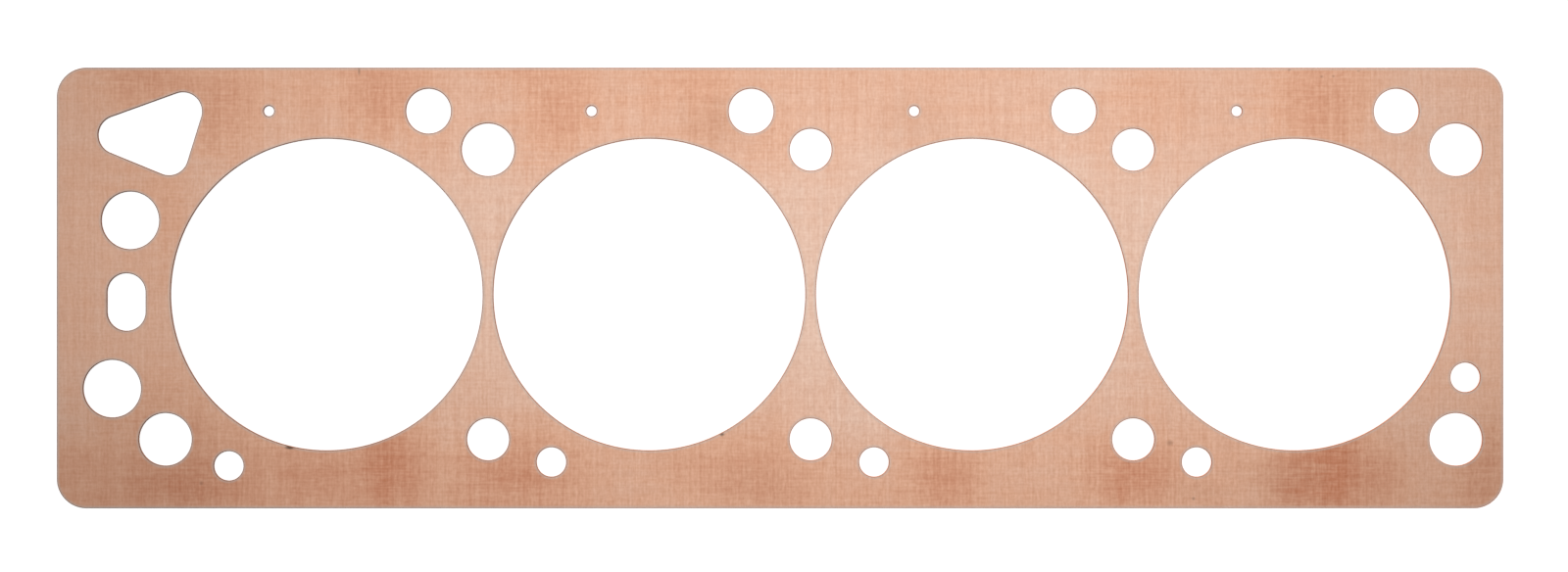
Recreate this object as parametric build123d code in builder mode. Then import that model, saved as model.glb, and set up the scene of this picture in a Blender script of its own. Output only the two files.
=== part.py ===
"""Copper cylinder head gasket for one bank of four large cylinders.

One flat sheet, cut through with the cylinder bores, the head bolt holes and the
passages for oil and water. Millimetres, +Z up. The sheet lies flat with its lower
face on Z = 0 and the origin under the middle of its outline. +X runs along the row
of bores, and +Y points to the edge with the drain holes.
"""

import os
from math import cos, radians, sin

from build123d import *

# Sheet
sheet_thickness = 1.09
corner_radius = 11.3
edge_break = 0.2

# Cylinder bores
bore_count = 4
bore_diameter = 120.3
bore_web = 4.16

# Copper between the bores' edges and the sheet's edges
upper_land = 27.4
lower_land = 22.35
right_land = 20.4

# Head bolts, in columns midway between the bores
bolt_row_inset = 4.25
plain_bolt_diameter = 16.2
sleeved_bolt_diameter = 20.3

# Drain and bleed holes, in one row above the bores
drain_diameter = 17.3
drain_row_rise = 10.65
drain_from_bolt = 22.95
bleed_diameter = 3.97
bleed_from_bore = 22.3

# Coolant holes: one below each bore, and one at the right end
coolant_diameter = 11.35
coolant_row_drop = 4.5
first_coolant_drop = 1.5
coolant_from_bolt = 24.45
end_coolant_land = 7.4
end_coolant_angle = -25.9

# Round ports and the slot at the left end, each with the copper between it and the first bore
port_diameter = 22.2
upper_port_land = 9.75
upper_port_angle = 159.3
lower_port_land = 19.15
lower_port_angle = 203.7
port_edge_land = 10.25
slot_width = 14.75
slot_length = 22.2
slot_land = 9.75
slot_below_bore = 2.9

# Three-cornered port: the centres of its round corners, from the bolt that passes through it
three_corner_radius = 7.4
lower_corner = (1.35, -2.45)
upper_corner = (6.7, 14.8)
left_corner = (-18.5, 5.7)

# Bores, from the first one's centre
bore_radius = bore_diameter / 2
bore_pitch = bore_diameter + bore_web
bore_places = [(i * bore_pitch, 0) for i in range(bore_count)]
last_bore = bore_places[-1]


def beside_bore(bore, land, hole_radius, angle):
    """Centre of a hole that leaves a land of copper outside a bore, in the direction of an angle."""
    reach = bore_radius + land + hole_radius
    return bore[0] + reach * cos(radians(angle)), bore[1] + reach * sin(radians(angle))


# Bolt columns and rows
bolt_columns = [(i - 0.5) * bore_pitch for i in range(bore_count + 1)]
bolt_row = bore_radius - bolt_row_inset
three_corner_bolt = (bolt_columns[0], bolt_row)
sleeved_bolts = [
    (bolt_columns[0], -bolt_row),
    (bolt_columns[1], bolt_row),
    (bolt_columns[-1], bolt_row),
    (bolt_columns[-1], -bolt_row),
]
plain_bolts = [
    (x, y)
    for x in bolt_columns
    for y in (bolt_row, -bolt_row)
    if (x, y) not in sleeved_bolts + [three_corner_bolt]
]

# Drain, bleed and coolant holes
drain_row = bore_radius + drain_row_rise
drain_places = [(x - drain_from_bolt, drain_row) for x in bolt_columns[1:]]
bleed_places = [(x - bleed_from_bore, drain_row) for x, _ in bore_places]
coolant_row = -bore_radius - coolant_row_drop
coolant_places = [(x + coolant_from_bolt, coolant_row) for x in bolt_columns[1:-1]]
coolant_places.append((bolt_columns[0] + coolant_from_bolt, coolant_row - first_coolant_drop))
coolant_places.append(
    beside_bore(last_bore, end_coolant_land, coolant_diameter / 2, end_coolant_angle)
)

# Left-end ports
port_radius = port_diameter / 2
upper_port = beside_bore(bore_places[0], upper_port_land, port_radius, upper_port_angle)
lower_port = beside_bore(bore_places[0], lower_port_land, port_radius, lower_port_angle)
slot_place = (-bore_radius - slot_land - slot_width / 2, -slot_below_bore)
three_corners = [
    (three_corner_bolt[0] + x, three_corner_bolt[1] + y)
    for x, y in (lower_corner, upper_corner, left_corner)
]

# Sheet edges: the left one stands clear of the lower port
left_edge = lower_port[0] - port_radius - port_edge_land
right_edge = last_bore[0] + bore_radius + right_land
upper_edge = bore_radius + upper_land
lower_edge = -bore_radius - lower_land
sheet_length = right_edge - left_edge
sheet_width = upper_edge - lower_edge
first_bore = Location((-(left_edge + right_edge) / 2, -(upper_edge + lower_edge) / 2))

os.makedirs("parts", exist_ok=True)

with BuildPart() as copper_gasket:
    with BuildSketch() as outline:
        RectangleRounded(sheet_length, sheet_width, corner_radius)
    extrude(amount=sheet_thickness)

    with BuildSketch(Plane(first_bore)) as holes:
        with Locations(*bore_places):
            Circle(bore_radius)
        with Locations(*plain_bolts):
            Circle(plain_bolt_diameter / 2)
        with Locations(*sleeved_bolts):
            Circle(sleeved_bolt_diameter / 2)
        with Locations(*drain_places):
            Circle(drain_diameter / 2)
        with Locations(*bleed_places):
            Circle(bleed_diameter / 2)
        with Locations(*coolant_places):
            Circle(coolant_diameter / 2)
        with Locations(upper_port, lower_port):
            Circle(port_radius)
        with Locations(slot_place):
            SlotOverall(slot_length, slot_width, rotation=90)
    extrude(amount=sheet_thickness, mode=Mode.SUBTRACT)

    with BuildSketch(Plane(first_bore)) as three_corner_port:
        with Locations(*three_corners):
            Circle(three_corner_radius)
        make_hull()
    extrude(amount=sheet_thickness, mode=Mode.SUBTRACT)

    flat_faces = copper_gasket.faces().filter_by(Axis.Z)
    chamfer(flat_faces.edges(), edge_break)

copper_gasket.part.label = "copper_gasket"
export_step(copper_gasket.part, "parts/copper_gasket.step")
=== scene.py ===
"""Copper cylinder head gasket: the finished sheet, its studio and its camera.

Metres, +Z up, in the part's own frame: the sheet lies flat on Z = 0 with the origin under
the middle of its outline, +X runs along the row of bores, and +Y points to the edge with
the drain holes.
"""

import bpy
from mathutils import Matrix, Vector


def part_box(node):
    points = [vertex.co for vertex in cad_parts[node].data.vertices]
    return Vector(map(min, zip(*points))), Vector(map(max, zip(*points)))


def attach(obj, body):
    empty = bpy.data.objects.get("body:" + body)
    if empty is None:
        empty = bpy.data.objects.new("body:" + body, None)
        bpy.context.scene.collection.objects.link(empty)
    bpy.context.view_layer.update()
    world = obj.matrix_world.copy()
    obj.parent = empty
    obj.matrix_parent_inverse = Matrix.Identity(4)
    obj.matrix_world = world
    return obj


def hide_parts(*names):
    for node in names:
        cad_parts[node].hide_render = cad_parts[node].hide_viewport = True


bl_info = {
    "name": "Copper Head Gasket",
    "version": (1, 0, 0),
    "blender": (4, 5, 0),
    "location": "3D View > Sidebar > Gasket",
    "description": "Models a copper cylinder head gasket and lights it on a white floor",
    "category": "Add Mesh",
}

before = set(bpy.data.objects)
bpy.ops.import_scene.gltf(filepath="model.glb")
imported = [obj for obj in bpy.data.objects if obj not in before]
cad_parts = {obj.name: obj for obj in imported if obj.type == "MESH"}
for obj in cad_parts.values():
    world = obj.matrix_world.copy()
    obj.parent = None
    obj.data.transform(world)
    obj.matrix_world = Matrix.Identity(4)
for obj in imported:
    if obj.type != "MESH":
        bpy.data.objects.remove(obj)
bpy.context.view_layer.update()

import math
from itertools import pairwise

import bmesh
import bpy
from mathutils import Vector

SHEET_NODE = "copper_gasket"
SHEET_LOW, SHEET_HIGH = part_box(SHEET_NODE)
UP = Vector((0, 0, 1))

# A face is flat if its normal is this upright, and two heights are one if they are this close
FLAT = 0.999
CLOSE = 1e-6

# A Mix node's colour sockets by number, because its other kinds of value have the same names
MIX_PART, MIX_FIRST, MIX_SECOND, MIX_COLOUR = 0, 6, 7, 2

# The range that nearly all of a noise lies in, and how much detail a plain and a rich one have
NOISE_LOW, NOISE_HIGH = 0.2, 0.8
PLAIN_DETAIL, RICH_DETAIL = 1.0, 2.0

# Parts of the noise that the fields are taken from, so that no two fields look alike
STROKES_FROM, GRAIN_FROM, CLOUDS_FROM = 3.1, 7.7, 9.4
BROAD_UPRIGHT_FROM, BROAD_LEVEL_FROM = 1.3, 5.9

# Darker, redder stains: place X and Y, half length, half height and depth. The first rows lie along
# the upper edge, the next between the edges, and the last along the lower edge.
STAINS = (
    (-0.242, 0.080, 0.022, 0.010, 0.62),
    (-0.214, 0.068, 0.013, 0.026, 0.62),
    (-0.180, 0.076, 0.030, 0.020, 0.22),
    (-0.154, 0.074, 0.018, 0.016, 0.64),
    (-0.140, 0.058, 0.010, 0.008, 0.30),
    (-0.096, 0.082, 0.014, 0.010, 0.52),
    (-0.085, 0.071, 0.014, 0.024, 0.62),
    (-0.034, 0.079, 0.020, 0.012, 0.40),
    (-0.026, 0.063, 0.014, 0.012, 0.30),
    (-0.004, 0.056, 0.010, 0.012, 0.30),
    (0.010, 0.084, 0.030, 0.010, 0.12),
    (0.142, 0.074, 0.012, 0.014, 0.20),
    (0.209, 0.073, 0.017, 0.020, 0.65),
    (-0.236, 0.033, 0.015, 0.020, 0.42),
    (-0.234, -0.049, 0.026, 0.018, 0.50),
    (-0.124, -0.036, 0.014, 0.018, 0.18),
    (0.146, -0.034, 0.014, 0.018, 0.26),
    (-0.262, -0.076, 0.020, 0.016, 0.40),
    (-0.226, -0.075, 0.030, 0.014, 0.75),
    (-0.180, -0.073, 0.024, 0.012, 0.56),
    (-0.151, -0.069, 0.013, 0.018, 0.92),
    (-0.101, -0.072, 0.020, 0.015, 0.70),
    (-0.014, -0.068, 0.026, 0.012, 0.35),
    (-0.010, -0.077, 0.020, 0.010, 0.44),
    (0.064, -0.074, 0.011, 0.014, 0.60),
    (0.136, -0.071, 0.014, 0.011, 0.84),
    (0.164, -0.081, 0.012, 0.006, 0.20),
    (0.204, -0.075, 0.012, 0.013, 0.95),
    (0.214, -0.070, 0.012, 0.020, 1.12),
    (0.228, -0.073, 0.010, 0.011, 0.62),
    (0.273, -0.070, 0.010, 0.018, 0.50),
)

# Greyer smudges, in the same order of values
SMUDGES = (
    (-0.238, -0.076, 0.020, 0.012, 0.020),
    (-0.030, 0.084, 0.200, 0.012, 0.020),
    (-0.024, 0.064, 0.014, 0.010, 0.090),
    (-0.008, -0.078, 0.014, 0.008, 0.035),
    (0.054, 0.064, 0.012, 0.012, 0.060),
    (0.163, -0.079, 0.012, 0.006, 0.060),
    (0.193, -0.077, 0.013, 0.012, 0.080),
    (0.273, -0.070, 0.010, 0.018, 0.030),
)

# Paler places that were wiped clean, in the same order of values
CLEANED = (
    (-0.073, 0.055, 0.008, 0.007, 0.12),
    (-0.002, 0.028, 0.014, 0.026, 0.06),
    (0.012, -0.006, 0.008, 0.024, 0.13),
    (0.030, -0.053, 0.014, 0.012, 0.23),
    (0.039, 0.048, 0.010, 0.009, 0.14),
    (0.110, 0.047, 0.010, 0.009, 0.12),
    (0.116, 0.083, 0.013, 0.006, 0.17),
    (0.249, 0.069, 0.010, 0.010, 0.12),
    (0.252, 0.032, 0.010, 0.018, 0.15),
    (0.258, 0.004, 0.010, 0.016, 0.18),
)

# Small dark nicks and specks, in the same order of values
MARKS = (
    (-0.2232, -0.0753, 0.0006, 0.0006, 0.35),
    (-0.1890, -0.0615, 0.0014, 0.0006, 1.25),
    (-0.1624, 0.0836, 0.0004, 0.0012, 0.50),
    (-0.0694, -0.0524, 0.0006, 0.0005, 0.40),
    (-0.0224, -0.0565, 0.0007, 0.0005, 0.90),
    (0.1504, -0.0598, 0.0010, 0.0008, 0.36),
    (0.1595, -0.0813, 0.0005, 0.0005, 0.45),
    (0.1964, 0.0842, 0.0005, 0.0004, 0.35),
    (0.2089, 0.0816, 0.0005, 0.0004, 0.40),
    (0.2134, 0.0817, 0.0004, 0.0004, 0.40),
    (0.2231, 0.0837, 0.0005, 0.0003, 0.35),
)

# Strokes of the rolled face: size along X, size along Y and share in the weave
UPRIGHT_STROKES = (
    (0.00084, 0.0035, 0.82),
    (0.00100, 0.0400, 0.72),
)
LEVEL_STROKES = (
    (0.0045, 0.00084, 0.50),
    (0.0500, 0.00096, 0.36),
)

# Strokes that the stains were wiped with, in the same order of values
WIPES = (
    (0.0240, 0.0008, 0.7),
    (0.0013, 0.0160, 0.4),
)


def length(name, default, description):
    """A size in metres that the user can change."""
    return bpy.props.FloatProperty(
        name=name, description=description, default=default, precision=5, unit="LENGTH"
    )


def lengths(name, default, description):
    """Two sizes in metres, such as a place in the plane of the sheet or both ends of a zone."""
    return bpy.props.FloatVectorProperty(
        name=name, description=description, default=default, size=2, precision=5, unit="LENGTH"
    )


def pair(name, default, description):
    """Two plain numbers, for the low and the high end of something."""
    return bpy.props.FloatVectorProperty(
        name=name, description=description, default=default, size=2, precision=4
    )


def angle(name, degrees, description):
    """A direction that the user can change, given in degrees and kept in radians."""
    return bpy.props.FloatProperty(
        name=name, description=description, default=math.radians(degrees), subtype="ANGLE"
    )


def amount(name, default, description):
    """A plain number that the user can change."""
    return bpy.props.FloatProperty(name=name, description=description, default=default, precision=4)


def share(name, default, description):
    """A number from nothing to all."""
    return bpy.props.FloatProperty(
        name=name, description=description, default=default, min=0.0, max=1.0, subtype="FACTOR"
    )


def colour(name, default, description):
    """A linear colour that the user can change."""
    return bpy.props.FloatVectorProperty(
        name=name, description=description, default=default, size=3, min=0.0, max=1.0, subtype="COLOR"
    )


class GasketSizes(bpy.types.PropertyGroup):
    """Sizes of the sheet and its holes."""

    sheet_length: length("Sheet length", SHEET_HIGH.x - SHEET_LOW.x, "Along the row of bores")
    sheet_width: length("Sheet width", SHEET_HIGH.y - SHEET_LOW.y, "Across the row of bores")
    thickness: length("Thickness", SHEET_HIGH.z - SHEET_LOW.z, "From the lower face to the upper one")
    corner_radius: length("Corner radius", 0.0113, "Round of the sheet's four corners")
    edge_break: length("Edge break", 0.0003, "Radius that takes the sharpness off every cut edge")
    rim_land: length("Rim land", 0.0010, "Narrow flat ring round every cut edge, where the copper is worn")
    chord_error: length("Chord error", 0.000004, "How far a facet may stand off a true arc")
    break_steps: bpy.props.IntProperty(
        name="Break steps", description="Facets across each broken edge", default=3, min=1
    )

    bore_count: bpy.props.IntProperty(name="Bores", description="Cylinders in the row", default=4, min=1)
    bore_diameter: length("Bore diameter", 0.1203, "Across one cylinder bore")
    bore_web: length("Bore web", 0.00416, "Copper between neighbouring bores")
    upper_land: length("Upper land", 0.0274, "Copper between the bores and the upper edge")
    right_land: length("Right land", 0.0204, "Copper between the last bore and the right edge")

    bolt_row_inset: length("Bolt row inset", 0.00425, "How far the bolt rows stand in from the bores' tops")
    plain_bolt_diameter: length("Plain bolt hole", 0.0162, "Across a hole for a bolt alone")
    sleeved_bolt_diameter: length("Sleeved bolt hole", 0.0203, "Across a hole for a bolt and its sleeve")

    drain_diameter: length("Drain hole", 0.0173, "Across an oil drain hole")
    drain_row_rise: length("Drain row rise", 0.01065, "From the bores' tops up to the drain holes")
    drain_from_bolt: length("Drain from bolt", 0.02295, "From a bolt column back to its drain hole")
    bleed_diameter: length("Bleed hole", 0.00397, "Across a small bleed hole")
    bleed_from_bore: length("Bleed from bore", 0.0223, "From a bore's centre back to its bleed hole")

    coolant_diameter: length("Coolant hole", 0.01135, "Across a coolant hole")
    coolant_row_drop: length("Coolant row drop", 0.0045, "From the bores' bottoms down to the coolant holes")
    first_coolant_drop: length("First coolant drop", 0.0015, "How much lower the first coolant hole is")
    coolant_from_bolt: length("Coolant from bolt", 0.02445, "From a bolt column on to its coolant hole")
    end_coolant_land: length("End coolant land", 0.0074, "Copper between the last bore and the end hole")
    end_coolant_angle: angle("End coolant angle", -25.9, "Direction of the end hole from the last bore")

    port_diameter: length("Port", 0.0222, "Across a round port at the left end")
    upper_port_land: length("Upper port land", 0.00975, "Copper between the first bore and the upper port")
    upper_port_angle: angle("Upper port angle", 159.3, "Direction of the upper port from the first bore")
    lower_port_land: length("Lower port land", 0.01915, "Copper between the first bore and the lower port")
    lower_port_angle: angle("Lower port angle", 203.7, "Direction of the lower port from the first bore")
    slot_width: length("Slot width", 0.01475, "Across the upright slot")
    slot_length: length("Slot length", 0.0222, "Along the upright slot")
    slot_land: length("Slot land", 0.00975, "Copper between the first bore and the slot")
    slot_below_bore: length("Slot drop", 0.0029, "From the bores' row down to the slot's middle")

    three_corner_radius: length("Three-corner radius", 0.0074, "Round of the three-cornered port's corners")
    lower_corner: lengths("Lower corner", (0.00135, -0.00245), "Corner centre from the bolt inside the port")
    upper_corner: lengths("Upper corner", (0.0067, 0.0148), "Corner centre from the bolt inside the port")
    left_corner: lengths("Left corner", (-0.0185, 0.0057), "Corner centre from the bolt inside the port")


class GasketFinish(bpy.types.PropertyGroup):
    """Colours and finish of the copper, with the shade that is painted into them."""

    pale_copper: colour("Pale copper", (0.80, 0.55, 0.43), "Clean copper, as on the webs")
    warm_copper: colour("Warm copper", (0.76, 0.425, 0.285), "Handled copper, as along the long edges")
    red_copper: colour("Red copper", (0.62, 0.26, 0.15), "Stained copper at its deepest")
    warm_step: share("Warm step", 0.5, "Where the warm copper lies between the pale and the red one")
    # Painted shade: a greyer ring round every cut stands for the dark line along the cut edges
    rim_shade_copper: colour("Rim copper", (0.58, 0.50, 0.45), "Worn, greyer copper round every cut")
    # Painted shade: the cut walls' colour is dull copper made dark to stand for the shade on them
    shaded_cut_copper: colour("Cut copper", (0.36, 0.16, 0.095), "Dull walls where the sheet was cut")
    mark_brown: colour("Mark brown", (0.16, 0.10, 0.07), "Small nicks and specks")

    edge_zone: lengths("Edge zone", (0.02, 0.07), "Where the wear towards a long edge begins and is full")
    end_zone: lengths("End zone", (0.19, 0.25), "Where the wear towards an end begins and is full")
    # Partly handling wear, partly painted light: the copper warms and darkens towards the ends and the lower
    # edge, and the paler middle is a painted highlight
    upper_wear: share("Upper wear", 0.24, "How far handling has warmed the copper along the upper edge")
    lower_wear_and_shade: share("Lower wear", 0.34, "How far handling has warmed the copper along the lower edge")
    end_wear_and_shade: share("End wear", 0.23, "How far handling has warmed the copper at both ends")
    wear_all_over: share("Wear all over", 0.10, "How far handling has warmed the copper everywhere")
    rim_shade_share: share("Rim wear", 0.65, "How far the copper is worn at the rim of a cut")
    # Painted shade at the sheet's corners
    corner_shade: share("Corner dullness", 0.06, "How much darker the copper is at the sheet's corners")

    broad_width: length("Broad width", 0.0045, "Across a broad smear")
    broad_length: length("Broad length", 0.042, "Along a broad smear")
    cloud_size: lengths("Cloud size", (0.045, 0.030), "Size of the slow clouds in the colour")
    smear: share("Smear", 0.05, "How far the smears and clouds warm the copper")
    stain_depth: share("Stain depth", 0.5, "How far a full stain reddens the copper")
    stain_wander: length("Stain wander", 0.003, "How far the stains' edges wander")
    wipe_wander: length("Wipe wander", 0.002, "How far wiping has drawn out the stains' edges")
    upright_rub: share("Upright rub", 0.10, "How far the upright strokes are rubbed into the stains")
    level_rub: share("Level rub", 0.22, "How far the level strokes are rubbed into the stains")
    wipe: share("Wipe", 0.25, "How far the wiping strokes change the stains")

    stroke_depth: share("Stroke depth", 0.355, "How far the strokes change the colour")
    stroke_tint: colour("Stroke tint", (0.10, 0.19, 0.25), "What a stroke takes off red, green and blue")
    lower_strokes: share("Lower strokes", 0.75, "How much the strokes deepen with the lower edge's wear")
    stained_strokes: share("Stained strokes", 0.25, "How much the level strokes deepen in a stain")
    grain_size: length("Grain size", 0.0010, "Across one speck of the grain between the strokes")
    grain_share: share("Grain share", 0.6, "Strength of the grain beside the strokes")
    roughness: share("Roughness", 0.42, "Mean roughness of the flat copper")
    roughness_play: share("Roughness play", 0.05, "How far the strokes change the roughness")
    relief: length("Relief", 0.0000009, "Height of the rolling strokes")

    # Painted shade on the cut walls: darker towards the ports' end and where a wall faces the lower edge,
    # lighter where it faces the upper edge
    cut_shade_zone: lengths("Cut zone", (-0.25, 0.0), "Where along X the cut walls are dullest and clean")
    cut_shade: pair("Cut shade", (0.65, 1.60), "Brightness of the dullest and of the clean cut walls")
    cut_facing_shade: amount("Cut facing", 0.5, "How much brighter a wall is that faces the upper edge")
    darkest_cut: share("Darkest cut", 0.30, "Brightness that no cut wall is below")
    score_size: length("Score size", 0.0004, "Across a score mark on the cut walls")
    score_height: length("Score height", 0.0033, "Along a score mark, up the wall")
    score_shade: pair("Score shade", (0.75, 1.25), "Brightness across the score marks")
    score_roughness: pair("Score roughness", (0.45, 0.60), "Roughness across the score marks")


class GasketStage(bpy.types.PropertyGroup):
    """Floor, light and camera."""

    floor_side: length("Floor side", 30.0, "Side of the square floor")
    floor_gap: length("Floor gap", 0.00002, "Air between the sheet and the floor")
    floor_white: colour("Floor white", (0.90, 0.90, 0.90), "Colour of the floor")
    floor_lift: amount("Floor lift", 0.60, "Light of the floor's own, for what looks at it")
    zenith: amount("Zenith", 0.42, "Brightness of the room overhead")
    horizon: amount("Horizon", 1.0, "Brightness of the room's white walls")
    zenith_from: share("Zenith from", 0.8, "How steeply one looks up where the room is dimmest")
    softbox_light: amount("Softbox light", 0.932, "Brightness of the softbox")
    softbox_height: length("Softbox height", 1.6, "Height above the sheet")
    softbox_size: lengths("Softbox size", (1.9, 1.4), "Length and width of the softbox")
    softbox_place: lengths("Softbox place", (0.12, 0.33), "Middle of the softbox over the sheet")
    camera_height: length("Camera height", 0.924, "From the sheet's upper face to the lens")
    camera_place: lengths("Camera place", (0.00151, 0.00076), "Where the lens stands over the sheet")
    sensor_width: amount("Sensor width", 36.0, "In millimetres")
    focal_length: amount("Focal length", 55.0, "In millimetres")


def from_bore(sizes, bore, land, radius, direction):
    """Centre of a hole that leaves a land of copper outside a bore, in one direction."""
    reach = sizes.bore_diameter / 2 + land + radius
    return bore + Vector((math.cos(direction), math.sin(direction), 0)) * reach


def gasket_holes(sizes):
    """Every hole, as the centres of its round corners in anticlockwise order and their radius."""
    bore_radius = sizes.bore_diameter / 2
    pitch = sizes.bore_diameter + sizes.bore_web
    last_x = sizes.sheet_length / 2 - sizes.right_land - bore_radius
    row_y = sizes.sheet_width / 2 - sizes.upper_land - bore_radius
    bores = [Vector((last_x - i * pitch, row_y, 0)) for i in reversed(range(sizes.bore_count))]
    columns = [bores[0].x + (i - 0.5) * pitch for i in range(sizes.bore_count + 1)]
    bolt_rise = bore_radius - sizes.bolt_row_inset
    upper_bolts = [Vector((x, row_y + bolt_rise, 0)) for x in columns]
    lower_bolts = [Vector((x, row_y - bolt_rise, 0)) for x in columns]
    sleeved = [lower_bolts[0], upper_bolts[1], upper_bolts[-1], lower_bolts[-1]]
    plain = [bolt for bolt in upper_bolts[1:] + lower_bolts if bolt not in sleeved]

    drain_y = row_y + bore_radius + sizes.drain_row_rise
    drains = [Vector((x - sizes.drain_from_bolt, drain_y, 0)) for x in columns[1:]]
    bleeds = [Vector((bore.x - sizes.bleed_from_bore, drain_y, 0)) for bore in bores]
    coolant_y = row_y - bore_radius - sizes.coolant_row_drop
    coolants = [Vector((x + sizes.coolant_from_bolt, coolant_y, 0)) for x in columns[:-1]]
    coolants[0].y -= sizes.first_coolant_drop
    coolant_radius = sizes.coolant_diameter / 2
    coolants.append(
        from_bore(sizes, bores[-1], sizes.end_coolant_land, coolant_radius, sizes.end_coolant_angle)
    )

    port_radius = sizes.port_diameter / 2
    ports = [
        from_bore(sizes, bores[0], sizes.upper_port_land, port_radius, sizes.upper_port_angle),
        from_bore(sizes, bores[0], sizes.lower_port_land, port_radius, sizes.lower_port_angle),
    ]
    slot_radius = sizes.slot_width / 2
    slot_reach = Vector((0, sizes.slot_length / 2 - slot_radius, 0))
    slot = bores[0] - Vector((bore_radius + sizes.slot_land + slot_radius, sizes.slot_below_bore, 0))
    three_corners = [
        upper_bolts[0] + Vector((x, y, 0))
        for x, y in (sizes.lower_corner, sizes.upper_corner, sizes.left_corner)
    ]

    round_holes = (
        (bores, bore_radius),
        (plain, sizes.plain_bolt_diameter / 2),
        (sleeved, sizes.sleeved_bolt_diameter / 2),
        (drains, sizes.drain_diameter / 2),
        (bleeds, sizes.bleed_diameter / 2),
        (coolants, coolant_radius),
        (ports, port_radius),
    )
    holes = [([centre], radius) for centres, radius in round_holes for centre in centres]
    holes.append(([slot - slot_reach, slot + slot_reach], slot_radius))
    holes.append((three_corners, sizes.three_corner_radius))
    return holes


def sheet_outline(sizes):
    """The sheet's outer edge, as the centres of its corners in anticlockwise order and their radius."""
    x = sizes.sheet_length / 2 - sizes.corner_radius
    y = sizes.sheet_width / 2 - sizes.corner_radius
    corners = [Vector((x, -y, 0)), Vector((x, y, 0)), Vector((-x, y, 0)), Vector((-x, -y, 0))]
    return corners, sizes.corner_radius


def corner_turns(corners):
    """Each corner's centre, the angle where its round starts and the angle it turns through."""
    if len(corners) == 1:
        return [(corners[0], 0.0, math.tau)]
    turns = []
    for before, here, after in zip(corners[-1:] + corners[:-1], corners, corners[1:] + corners[:1]):
        arriving, leaving = here - before, after - here
        start = math.atan2(-arriving.x, arriving.y)
        turn = (math.atan2(-leaving.x, leaving.y) - start) % math.tau
        turns.append((here, start, turn))
    return turns


def add_section(bm, sizes, hub, radius, start, side):
    """Stands the rim's section at an angle round a hub, with both of its edges rounded off."""
    out = Vector((math.cos(start), math.sin(start), 0))
    land = sizes.edge_break + sizes.rim_land
    outline = ((land, sizes.thickness), (0, sizes.thickness), (0, 0), (land, 0))
    points = [
        bm.verts.new(hub + out * (radius + side * depth) + UP * height) for depth, height in outline
    ]
    for ends in pairwise(points):
        bm.edges.new(ends)
    bmesh.ops.bevel(
        bm,
        geom=points[1:3],
        offset=sizes.edge_break,
        segments=sizes.break_steps,
        profile=0.5,
        affect="VERTICES",
        material=-1,
    )
    return [edge for edge in bm.edges if edge.is_wire]


def add_rim(sheet, sizes, corners, radius, side):
    """Sweeps the rim's section round one cut, with the copper outside it (side 1) or inside it (-1)."""
    facet = 2 * math.acos(1 - sizes.chord_error / radius)
    bm = bmesh.new()
    starts, ends = [], []
    for hub, start, turn in corner_turns(corners):
        section = add_section(bm, sizes, hub, radius, start, side)
        points = list({vert for edge in section for vert in edge.verts})
        swept = bmesh.ops.spin(
            bm,
            geom=points + section,
            cent=hub,
            axis=UP,
            angle=turn,
            steps=math.ceil(turn / facet),
            use_merge=len(corners) == 1,
        )
        starts.append(section)
        ends.append([part for part in swept["geom_last"] if isinstance(part, bmesh.types.BMEdge)])
    if len(corners) > 1:
        for end, next_start in zip(ends, starts[1:] + starts[:1]):
            bmesh.ops.bridge_loops(bm, edges=end + next_start)
    rim = bpy.data.meshes.new("rim")
    bm.to_mesh(rim)
    bm.free()
    sheet.from_mesh(rim)
    bpy.data.meshes.remove(rim)


def fill_flat(bm, height):
    """Fills the flat face at one height, from the outer rim to the rims of the holes."""
    rims = [
        edge
        for edge in bm.edges
        if edge.is_boundary and all(abs(vert.co.z - height) < CLOSE for vert in edge.verts)
    ]
    bmesh.ops.triangle_fill(bm, use_beauty=True, use_dissolve=False, edges=rims, normal=UP)


def sheet_mesh(sizes):
    """The whole sheet as one closed mesh: flat faces in slot 0, cut walls and broken edges in slot 1.

    The attribute "rim" is 1 on every cut and falls to 0 across the narrow flat ring beside it.
    """
    bm = bmesh.new()
    corners, radius = sheet_outline(sizes)
    add_rim(bm, sizes, corners, radius, side=-1)
    for corners, radius in gasket_holes(sizes):
        add_rim(bm, sizes, corners, radius, side=1)
    fill_flat(bm, sizes.thickness)
    fill_flat(bm, 0.0)
    bmesh.ops.recalc_face_normals(bm, faces=bm.faces)
    rim = bm.verts.layers.float.new("rim")
    for face in bm.faces:
        cut = abs(face.normal.z) < FLAT
        face.smooth = cut
        face.material_index = int(cut)
        for vert in face.verts:
            vert[rim] = max(vert[rim], float(cut))
    if any(len(edge.link_faces) != 2 for edge in bm.edges):
        raise RuntimeError("the gasket sheet isn't closed")
    mesh = bpy.data.meshes.new("gasket_sheet")
    bm.to_mesh(mesh)
    bm.free()
    return mesh


def add_node(tree, kind, inputs=(), **settings):
    """Adds a node, with its settings, and sets or links its inputs by name or number."""
    node = tree.nodes.new(kind)
    for name, value in settings.items():
        setattr(node, name, value)
    for name, value in dict(inputs).items():
        if isinstance(value, bpy.types.NodeSocket):
            tree.links.new(value, node.inputs[name])
        else:
            node.inputs[name].default_value = value
    return node


def work_out(tree, operation, first, second=0.0, third=0.0):
    """A Math node's result."""
    inputs = {0: first, 1: second, 2: third}
    return add_node(tree, "ShaderNodeMath", inputs, operation=operation).outputs[0]


def work_out_vector(tree, operation, inputs):
    """A Vector Math node's vector."""
    return add_node(tree, "ShaderNodeVectorMath", inputs, operation=operation).outputs["Vector"]


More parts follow.
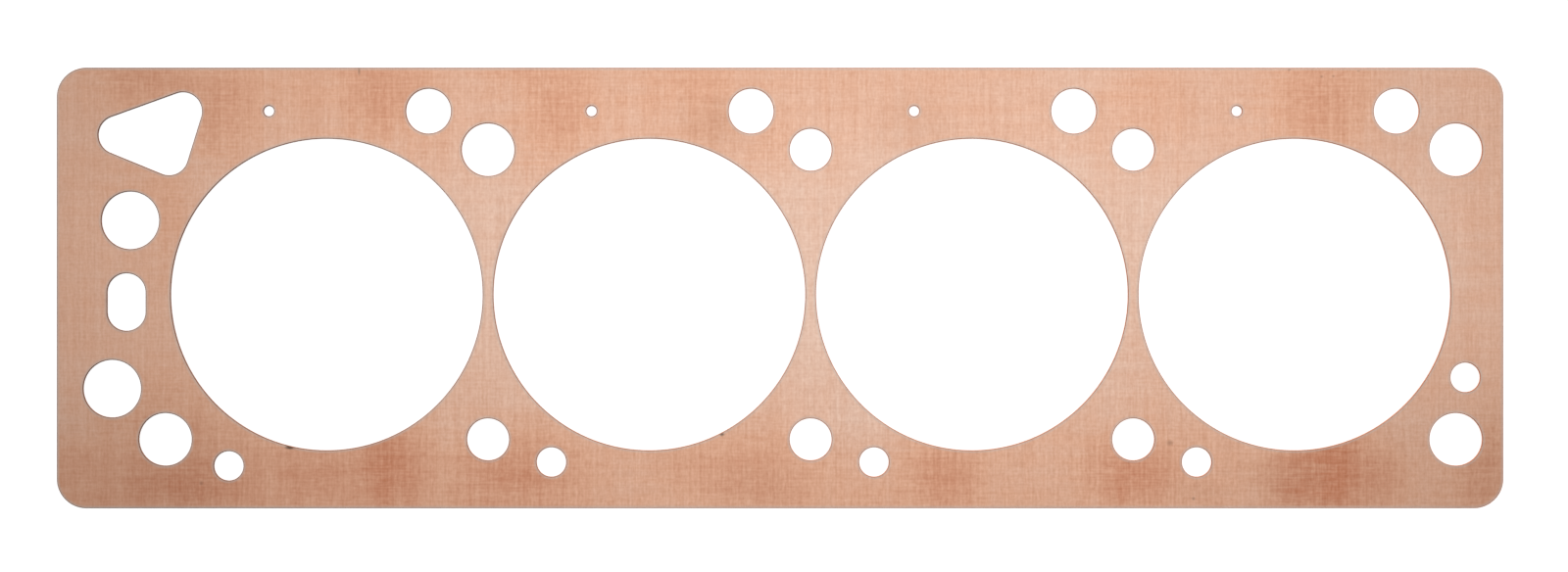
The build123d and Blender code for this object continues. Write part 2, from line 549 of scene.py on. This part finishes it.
def spread(tree, value, low, high, new_low, new_high, smooth=False):
    """A Map Range node's result, held inside the new range."""
    inputs = {"Value": value, "From Min": low, "From Max": high, "To Min": new_low, "To Max": new_high}
    kind = "SMOOTHSTEP" if smooth else "LINEAR"
    return add_node(tree, "ShaderNodeMapRange", inputs, interpolation_type=kind).outputs["Result"]


def blank_material(name, seen):
    """A material with one Principled shader, seen in the viewport in a plain colour."""
    material = bpy.data.materials.new(name)
    material.use_nodes = True
    material.diffuse_color = (*seen, 1.0)
    return material, material.node_tree, material.node_tree.nodes["Principled BSDF"]


def mixed(tree, part, first, second):
    """A Mix node's colour, from the first one to the second."""
    inputs = {MIX_PART: part, MIX_FIRST: first, MIX_SECOND: second}
    return add_node(tree, "ShaderNodeMix", inputs, data_type="RGBA").outputs[MIX_COLOUR]


def streaks(tree, position, along_x, along_y, start, detail=PLAIN_DETAIL):
    """Flat noise drawn out along X and Y, from about -1 to 1, taken from its own part of the noise."""
    inputs = {
        "Vector": position,
        "Location": (start, -start, 0.0),
        "Scale": (1 / along_x, 1 / along_y, 1.0),
    }
    stretched = add_node(tree, "ShaderNodeMapping", inputs).outputs["Vector"]
    inputs = {"Vector": stretched, "Scale": 1.0, "Detail": detail}
    noise = add_node(tree, "ShaderNodeTexNoise", inputs, noise_dimensions="2D").outputs["Fac"]
    return spread(tree, noise, NOISE_LOW, NOISE_HIGH, -1.0, 1.0)


def strokes(tree, position, rows):
    """Several fields of strokes, added up by their shares."""
    total = 0.0
    for number, (along_x, along_y, part) in enumerate(rows):
        field = streaks(tree, position, along_x, along_y, STROKES_FROM + number)
        total = work_out(tree, "MULTIPLY_ADD", field, part, total)
    return total


def patch(tree, position, x, y, half_length, half_height, depth):
    """A soft patch: its depth at the middle, half of it at the half sizes, and nothing at twice those."""
    inputs = {
        "Vector": position,
        "Location": (-x / half_length, -y / half_height, 0.0),
        "Scale": (1 / half_length, 1 / half_height, 0.0),
    }
    local = add_node(tree, "ShaderNodeMapping", inputs).outputs["Vector"]
    reach = add_node(tree, "ShaderNodeVectorMath", {0: local}, operation="LENGTH").outputs["Value"]
    return spread(tree, reach, 0.0, 2.0, depth, 0.0, smooth=True)


def patches(tree, position, rows):
    """The deepest of several patches at each place."""
    total = 0.0
    for row in rows:
        total = work_out(tree, "MAXIMUM", total, patch(tree, position, *row))
    return total


def shifted(tree, position, x, y):
    """A position moved by two fields, to make an edge wander."""
    wander = add_node(tree, "ShaderNodeCombineXYZ", {"X": x, "Y": y}).outputs[0]
    return work_out_vector(tree, "ADD", {0: position, 1: wander})


def wear_and_shade_fields(tree, position, finish):
    """How far the copper is warmed in all, by handling wear and by painted shade towards the ends and the
    lower edge; how far along the lower edge; and how far at a corner.
    """
    place_of = add_node(tree, "ShaderNodeSeparateXYZ", {0: position}).outputs
    # Partly painted shade: darker towards the lower edge and the ends
    start, full = finish.edge_zone
    upper = spread(tree, place_of["Y"], start, full, 0.0, finish.upper_wear, smooth=True)
    lower = spread(tree, place_of["Y"], -start, -full, 0.0, finish.lower_wear_and_shade, smooth=True)
    edge = work_out(tree, "MAXIMUM", upper, lower)
    start, full = finish.end_zone
    from_middle = work_out(tree, "ABSOLUTE", place_of["X"])
    end = spread(tree, from_middle, start, full, 0.0, finish.end_wear_and_shade, smooth=True)
    wear_and_shade = work_out(tree, "ADD", work_out(tree, "MAXIMUM", edge, end), finish.wear_all_over)
    return wear_and_shade, lower, work_out(tree, "MULTIPLY", edge, end)


def rolled_strokes(tree, position, finish):
    """The rolling's upright strokes, its level ones, and both together with the grain between them."""
    upright = strokes(tree, position, UPRIGHT_STROKES)
    level = strokes(tree, position, LEVEL_STROKES)
    grain = streaks(tree, position, finish.grain_size, finish.grain_size, GRAIN_FROM)
    rolled = work_out(tree, "ADD", upright, level)
    rolled = work_out(tree, "MULTIPLY_ADD", grain, finish.grain_share, rolled)
    return upright, level, rolled


def smears(tree, position, wipe, finish):
    """Slow smears in the colour, and the position that they and the wiping shift, for the stains."""
    wide, long = finish.broad_width, finish.broad_length
    upright = streaks(tree, position, wide, long, BROAD_UPRIGHT_FROM)
    level = streaks(tree, position, long, wide, BROAD_LEVEL_FROM)
    cloud = streaks(tree, position, *finish.cloud_size, CLOUDS_FROM, RICH_DETAIL)
    smear = work_out(tree, "ADD", work_out(tree, "ADD", upright, level), cloud)
    drift_x = work_out(tree, "MULTIPLY", wipe, finish.wipe_wander)
    drift_x = work_out(tree, "MULTIPLY_ADD", level, finish.stain_wander, drift_x)
    drift_y = work_out(tree, "MULTIPLY", upright, finish.stain_wander)
    return smear, shifted(tree, position, drift_x, drift_y)


def copper_colour(tree, redness, finish):
    """Pale copper where the redness is 0, then warm, and red copper where it is 1."""
    ramp = add_node(tree, "ShaderNodeValToRGB", {"Fac": redness})
    steps = ramp.color_ramp.elements
    steps[0].color = (*finish.pale_copper, 1.0)
    steps[1].color = (*finish.red_copper, 1.0)
    steps.new(finish.warm_step).color = (*finish.warm_copper, 1.0)
    return ramp.outputs["Color"]


def shaded(tree, tint, weave, brightness, finish):
    """A colour with the strokes of the weave in it, dimmed by a field of brightness."""
    inputs = {0: weave, 1: -Vector(finish.stroke_tint), 2: (1.0, 1.0, 1.0)}
    shade = work_out_vector(tree, "MULTIPLY_ADD", inputs)
    shade = work_out_vector(tree, "SCALE", {0: shade, "Scale": brightness})
    return work_out_vector(tree, "MULTIPLY", {0: tint, 1: shade})


def copper_face(finish):
    """Rolled copper: a weave of fine strokes, red stains, handling wear, painted shade at the rims, the
    corners, the ends and the lower edge, and a soft satin gloss.
    """
    material, tree, shader = blank_material("copper_face", finish.warm_copper)
    position = add_node(tree, "ShaderNodeTexCoord").outputs["Object"]
    upright, level, rolled = rolled_strokes(tree, position, finish)
    wipe = strokes(tree, position, WIPES)
    smear, wandering = smears(tree, position, wipe, finish)
    wear_and_shade, lower, corner = wear_and_shade_fields(tree, position, finish)
    stain = patches(tree, wandering, STAINS)
    smudge = patches(tree, wandering, SMUDGES)
    cleaned = patches(tree, wandering, CLEANED)
    mark = patches(tree, position, MARKS)

    # Redness: wear and painted shade towards the ends and the lower edge, smears, stains that are rubbed by
    # the strokes, less what was cleaned off
    rubbed = work_out(tree, "MULTIPLY_ADD", upright, finish.upright_rub, 1.0)
    rubbed = work_out(tree, "MULTIPLY_ADD", level, finish.level_rub, rubbed)
    rubbed = work_out(tree, "MULTIPLY_ADD", wipe, finish.wipe, rubbed)
    redness = work_out(tree, "MULTIPLY", stain, rubbed)
    redness = work_out(tree, "MULTIPLY_ADD", redness, finish.stain_depth, wear_and_shade)
    redness = work_out(tree, "MULTIPLY_ADD", smear, finish.smear, redness)
    redness = work_out(tree, "SUBTRACT", redness, cleaned)

    # Weave: the rolled strokes, deeper in a stain and towards the lower edge
    deepening = work_out(tree, "MULTIPLY", stain, finish.stained_strokes)
    weave = work_out(tree, "MULTIPLY_ADD", level, deepening, rolled)
    lower_depth = finish.lower_strokes * finish.stroke_depth
    depth = work_out(tree, "MULTIPLY_ADD", lower, lower_depth, finish.stroke_depth)
    weave = work_out(tree, "MULTIPLY", weave, depth)

    # Colour: painted shade at the corners, dimmed at the smudges, a greyer ring of painted shade at the
    # rims, and dark at the nicks
    full_corner = finish.upper_wear * finish.end_wear_and_shade
    brightness = spread(tree, corner, 0.0, full_corner, 1.0, 1.0 - finish.corner_shade)
    brightness = work_out(tree, "SUBTRACT", brightness, smudge)
    tint = shaded(tree, copper_colour(tree, redness, finish), weave, brightness, finish)
    # Painted shade: a greyer ring round every cut, for the dark line along the cut edges
    rim = add_node(tree, "ShaderNodeAttribute", attribute_name="rim").outputs["Fac"]
    shade_painted = work_out(tree, "MULTIPLY", rim, finish.rim_shade_share)
    tint = mixed(tree, shade_painted, tint, (*finish.rim_shade_copper, 1.0))
    tint = mixed(tree, mark, tint, (*finish.mark_brown, 1.0))
    tree.links.new(tint, shader.inputs["Base Color"])

    # Gloss: the strokes show in the roughness, and in a slight relief
    rough = work_out(tree, "MULTIPLY_ADD", weave, finish.roughness_play, finish.roughness)
    tree.links.new(rough, shader.inputs["Roughness"])
    bump = add_node(tree, "ShaderNodeBump", {"Height": rolled, "Distance": finish.relief})
    tree.links.new(bump.outputs["Normal"], shader.inputs["Normal"])
    shader.inputs["Metallic"].default_value = 1.0
    return material


def cut_edge(finish):
    """Dull copper where the sheet was cut, scored up and down, and darkened with painted shade: dark all
    over, darker towards the ports' end, and darker on walls that face the lower edge.
    """
    material, tree, shader = blank_material("cut_edge", finish.shaded_cut_copper)
    position = add_node(tree, "ShaderNodeTexCoord").outputs["Object"]
    fineness = (1 / finish.score_size, 1 / finish.score_size, 1 / finish.score_height)
    inputs = {"Vector": position, "Scale": fineness}
    scored = add_node(tree, "ShaderNodeMapping", inputs).outputs["Vector"]
    inputs = {"Vector": scored, "Scale": 1.0, "Detail": RICH_DETAIL}
    score = add_node(tree, "ShaderNodeTexNoise", inputs).outputs["Fac"]

    place_x = add_node(tree, "ShaderNodeSeparateXYZ", {0: position}).outputs["X"]
    facing = add_node(tree, "ShaderNodeNewGeometry").outputs["Normal"]
    facing_y = add_node(tree, "ShaderNodeSeparateXYZ", {0: facing}).outputs["Y"]
    # Painted shade: darker towards the ports' end and on walls that face the lower edge, lighter on walls
    # that face the upper edge
    clean = spread(tree, place_x, *finish.cut_shade_zone, *finish.cut_shade)
    clean = work_out(tree, "MULTIPLY_ADD", facing_y, finish.cut_facing_shade, clean)
    clean = work_out(tree, "MAXIMUM", clean, finish.darkest_cut)
    score_shade = spread(tree, score, NOISE_LOW, NOISE_HIGH, *finish.score_shade)
    shade = work_out(tree, "MULTIPLY", clean, score_shade)
    tint = work_out_vector(tree, "SCALE", {0: tuple(finish.shaded_cut_copper), "Scale": shade})
    tree.links.new(tint, shader.inputs["Base Color"])
    rough = spread(tree, score, NOISE_LOW, NOISE_HIGH, *finish.score_roughness)
    tree.links.new(rough, shader.inputs["Roughness"])
    shader.inputs["Metallic"].default_value = 1.0
    return material


def floor_material(stage):
    """A floor that looks white to the camera and in the metal, and still takes the sheet's shadow."""
    material, tree, shader = blank_material("studio_floor", stage.floor_white)
    shader.inputs["Base Color"].default_value = (*stage.floor_white, 1.0)
    shader.inputs["Roughness"].default_value = 1.0
    shader.inputs["Specular IOR Level"].default_value = 0.0
    shader.inputs["Emission Color"].default_value = (1.0, 1.0, 1.0, 1.0)
    light = add_node(tree, "ShaderNodeLightPath")
    looked_at = work_out(tree, "MAXIMUM", light.outputs["Is Camera Ray"], light.outputs["Is Glossy Ray"])
    looked_at = work_out(tree, "MAXIMUM", looked_at, light.outputs["Is Transmission Ray"])
    lift = work_out(tree, "MULTIPLY", looked_at, stage.floor_lift)
    tree.links.new(lift, shader.inputs["Emission Strength"])
    return material


def link_object(name, data):
    """A new object at the origin, in the scene."""
    piece = bpy.data.objects.new(name, data)
    bpy.context.scene.collection.objects.link(piece)
    return piece


def add_floor(stage):
    """A wide white floor just under the sheet."""
    bm = bmesh.new()
    bmesh.ops.create_grid(bm, x_segments=1, y_segments=1, size=stage.floor_side / 2)
    bmesh.ops.translate(bm, verts=bm.verts, vec=-UP * stage.floor_gap)
    mesh = bpy.data.meshes.new("studio_floor")
    bm.to_mesh(mesh)
    bm.free()
    mesh.materials.append(floor_material(stage))
    link_object("studio_floor", mesh)


def light_room(stage):
    """A white room, dimmer overhead than at its walls."""
    world = bpy.data.worlds.new("studio_room")
    world.use_nodes = True
    tree = world.node_tree
    towards = add_node(tree, "ShaderNodeTexCoord").outputs["Generated"]
    height = add_node(tree, "ShaderNodeSeparateXYZ", {0: towards}).outputs["Z"]
    level = spread(tree, height, 0.0, stage.zenith_from, stage.horizon, stage.zenith, smooth=True)
    background = tree.nodes["Background"]
    background.inputs["Color"].default_value = (1.0, 1.0, 1.0, 1.0)
    tree.links.new(level, background.inputs["Strength"])
    bpy.context.scene.world = world


def add_softbox(stage):
    """A large soft light overhead, towards the drain holes' edge."""
    light = bpy.data.lights.new("softbox", "AREA")
    light.shape = "ELLIPSE"
    light.size, light.size_y = stage.softbox_size
    area = math.pi / 4 * light.size * light.size_y
    # A lamp of brightness 1 gives pi watts for each square metre
    light.energy = stage.softbox_light * math.pi * area
    softbox = link_object("softbox", light)
    softbox.location = (*stage.softbox_place, stage.softbox_height)


def add_camera(stage):
    """A camera that looks straight down on the sheet, with +Y up in the picture."""
    lens = bpy.data.cameras.new("overhead_camera")
    lens.sensor_fit = "HORIZONTAL"
    lens.sensor_width = stage.sensor_width
    lens.lens = stage.focal_length
    camera = link_object("overhead_camera", lens)
    camera.location = (*stage.camera_place, SHEET_HIGH.z + stage.camera_height)
    bpy.context.scene.camera = camera


class GASKET_OT_sheet(bpy.types.Operator):
    """Models the copper sheet with all its holes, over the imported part"""

    bl_idname = "gasket.sheet"
    bl_label = "Copper Sheet"
    bl_options = {"REGISTER", "UNDO"}

    def execute(self, context):
        scene = context.scene
        mesh = sheet_mesh(scene.gasket_sizes)
        mesh.materials.append(copper_face(scene.gasket_finish))
        mesh.materials.append(cut_edge(scene.gasket_finish))
        sheet = link_object("gasket_sheet", mesh)
        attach(sheet, "root")
        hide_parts(SHEET_NODE)
        return {"FINISHED"}


class GASKET_OT_stage(bpy.types.Operator):
    """Sets up the white floor, the soft light and the overhead camera"""

    bl_idname = "gasket.stage"
    bl_label = "Studio Stage"
    bl_options = {"REGISTER", "UNDO"}

    def execute(self, context):
        stage = context.scene.gasket_stage
        add_floor(stage)
        light_room(stage)
        add_softbox(stage)
        add_camera(stage)
        context.scene.view_settings.view_transform = "Standard"
        return {"FINISHED"}


class GASKET_PT_sidebar(bpy.types.Panel):
    """Lists the gasket's steps and its sizes"""

    bl_idname = "GASKET_PT_sidebar"
    bl_label = "Copper Head Gasket"
    bl_space_type = "VIEW_3D"
    bl_region_type = "UI"
    bl_category = "Gasket"

    def draw(self, context):
        layout = self.layout
        for operator in OPERATORS:
            layout.operator(operator.bl_idname)
        scene = context.scene
        for group in (scene.gasket_sizes, scene.gasket_finish, scene.gasket_stage):
            box = layout.box()
            for name in group.__annotations__:
                box.prop(group, name)


OPERATORS = (GASKET_OT_sheet, GASKET_OT_stage)
CLASSES = (GasketSizes, GasketFinish, GasketStage, *OPERATORS, GASKET_PT_sidebar)


def register():
    """Makes the classes known, and gives the scene its three groups of values."""
    for kind in CLASSES:
        bpy.utils.register_class(kind)
    bpy.types.Scene.gasket_sizes = bpy.props.PointerProperty(type=GasketSizes)
    bpy.types.Scene.gasket_finish = bpy.props.PointerProperty(type=GasketFinish)
    bpy.types.Scene.gasket_stage = bpy.props.PointerProperty(type=GasketStage)


def unregister():
    """Takes back what register has done."""
    del bpy.types.Scene.gasket_stage
    del bpy.types.Scene.gasket_finish
    del bpy.types.Scene.gasket_sizes
    for kind in reversed(CLASSES):
        bpy.utils.unregister_class(kind)


def main():
    """Models the gasket and sets up its stage."""
    register()
    bpy.ops.gasket.sheet()
    bpy.ops.gasket.stage()


if __name__ == "__main__":
    main()
